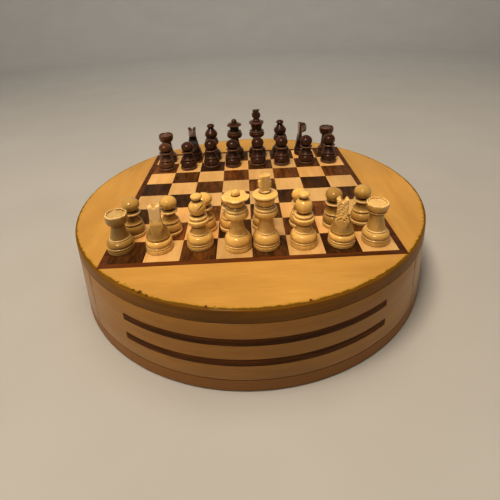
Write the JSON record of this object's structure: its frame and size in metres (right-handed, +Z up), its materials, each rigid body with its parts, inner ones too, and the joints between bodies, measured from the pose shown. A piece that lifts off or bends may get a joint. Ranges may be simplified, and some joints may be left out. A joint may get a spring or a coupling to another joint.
{
  "type": "chess set with round drawer case",
  "caption": "Round wooden chess case with an inlaid board on top, pull-out drawers for the men and a full set of turned chessmen standing on their squares.",
  "frame": {"origin": "middle of the round case, on the table", "axes": "+Z up, +X along the ranks from file a to file h, -Y towards white's side and the front drawer"},
  "size_m": [0.32, 0.32, 0.1265],
  "materials": {
    "amber_veneer": "honey-coloured veneer under polished lacquer, straight fine grain",
    "band_wood": "dark walnut banding under polished lacquer",
    "dark_square_wood": "dark walnut veneer under polished lacquer, fine grain",
    "light_square_wood": "pale maple veneer yellowed under polished lacquer",
    "top_edge": "olive-brown edge band with fine streaks, worn lacquer",
    "side_veneer": "tan bent veneer under satin lacquer",
    "base_edge": "pinkish brown edge band, satin lacquer",
    "stripe_wood": "dark inlaid strips, satin lacquer",
    "inner_wood": "plain plywood, unfinished",
    "tray_wood": "plain beech, sanded",
    "tray_floor_wood": "thin birch plywood, sanded",
    "stop_wood": "beech dowel, waxed",
    "tray_felt": "green felt",
    "pad_felt": "green felt",
    "screw_steel": "zinc-plated wood screws",
    "white_men_wood": "turned boxwood, honey-coloured with age, polished",
    "dark_men_wood": "turned wood stained near black, red-brown at the edges, polished"
  },
  "bodies": {
    "case": {"base_board": "base_edge", "felt_pads": "pad_felt", "base_screws": "screw_steel", "stop_pins": "stop_wood", "partition": "inner_wood", "left_guide_wall": "inner_wood", "right_guide_wall": "inner_wood", "left_bent_side": "side_veneer", "right_bent_side": "side_veneer", "top_board": "top_edge", "margin_front_back": "amber_veneer", "margin_sides": "amber_veneer", "dark_band": "band_wood", "dark_squares": "dark_square_wood", "light_squares": "light_square_wood"},
    "front_drawer": {"front_drawer_front": "side_veneer", "front_drawer_stripes": "stripe_wood", "front_drawer_walls": "tray_wood", "front_drawer_floor": "tray_floor_wood", "front_drawer_felt": "tray_felt"},
    "back_drawer": {"back_drawer_front": "side_veneer", "back_drawer_stripes": "stripe_wood", "back_drawer_walls": "tray_wood", "back_drawer_floor": "tray_floor_wood", "back_drawer_felt": "tray_felt"},
    "white_rook_a": {"white_rook_a": "white_men_wood"},
    "white_knight_b": {"white_knight_b": "white_men_wood"},
    "white_bishop_c": {"white_bishop_c": "white_men_wood"},
    "white_queen": {"white_queen": "white_men_wood"},
    "white_king": {"white_king": "white_men_wood"},
    "white_bishop_f": {"white_bishop_f": "white_men_wood"},
    "white_knight_g": {"white_knight_g": "white_men_wood"},
    "white_rook_h": {"white_rook_h": "white_men_wood"},
    "white_pawn_a": {"white_pawn_a": "white_men_wood"},
    "white_pawn_b": {"white_pawn_b": "white_men_wood"},
    "white_pawn_c": {"white_pawn_c": "white_men_wood"},
    "white_pawn_d": {"white_pawn_d": "white_men_wood"},
    "white_pawn_e": {"white_pawn_e": "white_men_wood"},
    "white_pawn_f": {"white_pawn_f": "white_men_wood"},
    "white_pawn_g": {"white_pawn_g": "white_men_wood"},
    "white_pawn_h": {"white_pawn_h": "white_men_wood"},
    "dark_rook_a": {"dark_rook_a": "dark_men_wood"},
    "dark_knight_b": {"dark_knight_b": "dark_men_wood"},
    "dark_bishop_c": {"dark_bishop_c": "dark_men_wood"},
    "dark_queen": {"dark_queen": "dark_men_wood"},
    "dark_king": {"dark_king": "dark_men_wood"},
    "dark_bishop_f": {"dark_bishop_f": "dark_men_wood"},
    "dark_knight_g": {"dark_knight_g": "dark_men_wood"},
    "dark_rook_h": {"dark_rook_h": "dark_men_wood"},
    "dark_pawn_a": {"dark_pawn_a": "dark_men_wood"},
    "dark_pawn_b": {"dark_pawn_b": "dark_men_wood"},
    "dark_pawn_c": {"dark_pawn_c": "dark_men_wood"},
    "dark_pawn_d": {"dark_pawn_d": "dark_men_wood"},
    "dark_pawn_e": {"dark_pawn_e": "dark_men_wood"},
    "dark_pawn_f": {"dark_pawn_f": "dark_men_wood"},
    "dark_pawn_g": {"dark_pawn_g": "dark_men_wood"},
    "dark_pawn_h": {"dark_pawn_h": "dark_men_wood"}
  },
  "joints": [
    {"name": "front_drawer_slide", "type": "slide", "parent": "case", "child": "front_drawer", "axis": [0, -1, 0], "range_m": [0, 0.095]},
    {"name": "back_drawer_slide", "type": "slide", "parent": "case", "child": "back_drawer", "axis": [0, 1, 0], "range_m": [0, 0.095]},
    {"name": "white_rook_a_lift", "type": "slide", "parent": "case", "child": "white_rook_a", "axis": [0, 0, 1], "range_m": [0, 0.07]},
    {"name": "white_knight_b_lift", "type": "slide", "parent": "case", "child": "white_knight_b", "axis": [0, 0, 1], "range_m": [0, 0.07]},
    {"name": "white_bishop_c_lift", "type": "slide", "parent": "case", "child": "white_bishop_c", "axis": [0, 0, 1], "range_m": [0, 0.07]},
    {"name": "white_queen_lift", "type": "slide", "parent": "case", "child": "white_queen", "axis": [0, 0, 1], "range_m": [0, 0.07]},
    {"name": "white_king_lift", "type": "slide", "parent": "case", "child": "white_king", "axis": [0, 0, 1], "range_m": [0, 0.07]},
    {"name": "white_bishop_f_lift", "type": "slide", "parent": "case", "child": "white_bishop_f", "axis": [0, 0, 1], "range_m": [0, 0.07]},
    {"name": "white_knight_g_lift", "type": "slide", "parent": "case", "child": "white_knight_g", "axis": [0, 0, 1], "range_m": [0, 0.07]},
    {"name": "white_rook_h_lift", "type": "slide", "parent": "case", "child": "white_rook_h", "axis": [0, 0, 1], "range_m": [0, 0.07]},
    {"name": "white_pawn_a_lift", "type": "slide", "parent": "case", "child": "white_pawn_a", "axis": [0, 0, 1], "range_m": [0, 0.07]},
    {"name": "white_pawn_b_lift", "type": "slide", "parent": "case", "child": "white_pawn_b", "axis": [0, 0, 1], "range_m": [0, 0.07]},
    {"name": "white_pawn_c_lift", "type": "slide", "parent": "case", "child": "white_pawn_c", "axis": [0, 0, 1], "range_m": [0, 0.07]},
    {"name": "white_pawn_d_lift", "type": "slide", "parent": "case", "child": "white_pawn_d", "axis": [0, 0, 1], "range_m": [0, 0.07]},
    {"name": "white_pawn_e_lift", "type": "slide", "parent": "case", "child": "white_pawn_e", "axis": [0, 0, 1], "range_m": [0, 0.07]},
    {"name": "white_pawn_f_lift", "type": "slide", "parent": "case", "child": "white_pawn_f", "axis": [0, 0, 1], "range_m": [0, 0.07]},
    {"name": "white_pawn_g_lift", "type": "slide", "parent": "case", "child": "white_pawn_g", "axis": [0, 0, 1], "range_m": [0, 0.07]},
    {"name": "white_pawn_h_lift", "type": "slide", "parent": "case", "child": "white_pawn_h", "axis": [0, 0, 1], "range_m": [0, 0.07]},
    {"name": "dark_rook_a_lift", "type": "slide", "parent": "case", "child": "dark_rook_a", "axis": [0, 0, 1], "range_m": [0, 0.07]},
    {"name": "dark_knight_b_lift", "type": "slide", "parent": "case", "child": "dark_knight_b", "axis": [0, 0, 1], "range_m": [0, 0.07]},
    {"name": "dark_bishop_c_lift", "type": "slide", "parent": "case", "child": "dark_bishop_c", "axis": [0, 0, 1], "range_m": [0, 0.07]},
    {"name": "dark_queen_lift", "type": "slide", "parent": "case", "child": "dark_queen", "axis": [0, 0, 1], "range_m": [0, 0.07]},
    {"name": "dark_king_lift", "type": "slide", "parent": "case", "child": "dark_king", "axis": [0, 0, 1], "range_m": [0, 0.07]},
    {"name": "dark_bishop_f_lift", "type": "slide", "parent": "case", "child": "dark_bishop_f", "axis": [0, 0, 1], "range_m": [0, 0.07]},
    {"name": "dark_knight_g_lift", "type": "slide", "parent": "case", "child": "dark_knight_g", "axis": [0, 0, 1], "range_m": [0, 0.07]},
    {"name": "dark_rook_h_lift", "type": "slide", "parent": "case", "child": "dark_rook_h", "axis": [0, 0, 1], "range_m": [0, 0.07]},
    {"name": "dark_pawn_a_lift", "type": "slide", "parent": "case", "child": "dark_pawn_a", "axis": [0, 0, 1], "range_m": [0, 0.07]},
    {"name": "dark_pawn_b_lift", "type": "slide", "parent": "case", "child": "dark_pawn_b", "axis": [0, 0, 1], "range_m": [0, 0.07]},
    {"name": "dark_pawn_c_lift", "type": "slide", "parent": "case", "child": "dark_pawn_c", "axis": [0, 0, 1], "range_m": [0, 0.07]},
    {"name": "dark_pawn_d_lift", "type": "slide", "parent": "case", "child": "dark_pawn_d", "axis": [0, 0, 1], "range_m": [0, 0.07]},
    {"name": "dark_pawn_e_lift", "type": "slide", "parent": "case", "child": "dark_pawn_e", "axis": [0, 0, 1], "range_m": [0, 0.07]},
    {"name": "dark_pawn_f_lift", "type": "slide", "parent": "case", "child": "dark_pawn_f", "axis": [0, 0, 1], "range_m": [0, 0.07]},
    {"name": "dark_pawn_g_lift", "type": "slide", "parent": "case", "child": "dark_pawn_g", "axis": [0, 0, 1], "range_m": [0, 0.07]},
    {"name": "dark_pawn_h_lift", "type": "slide", "parent": "case", "child": "dark_pawn_h", "axis": [0, 0, 1], "range_m": [0, 0.07]}
  ]
}
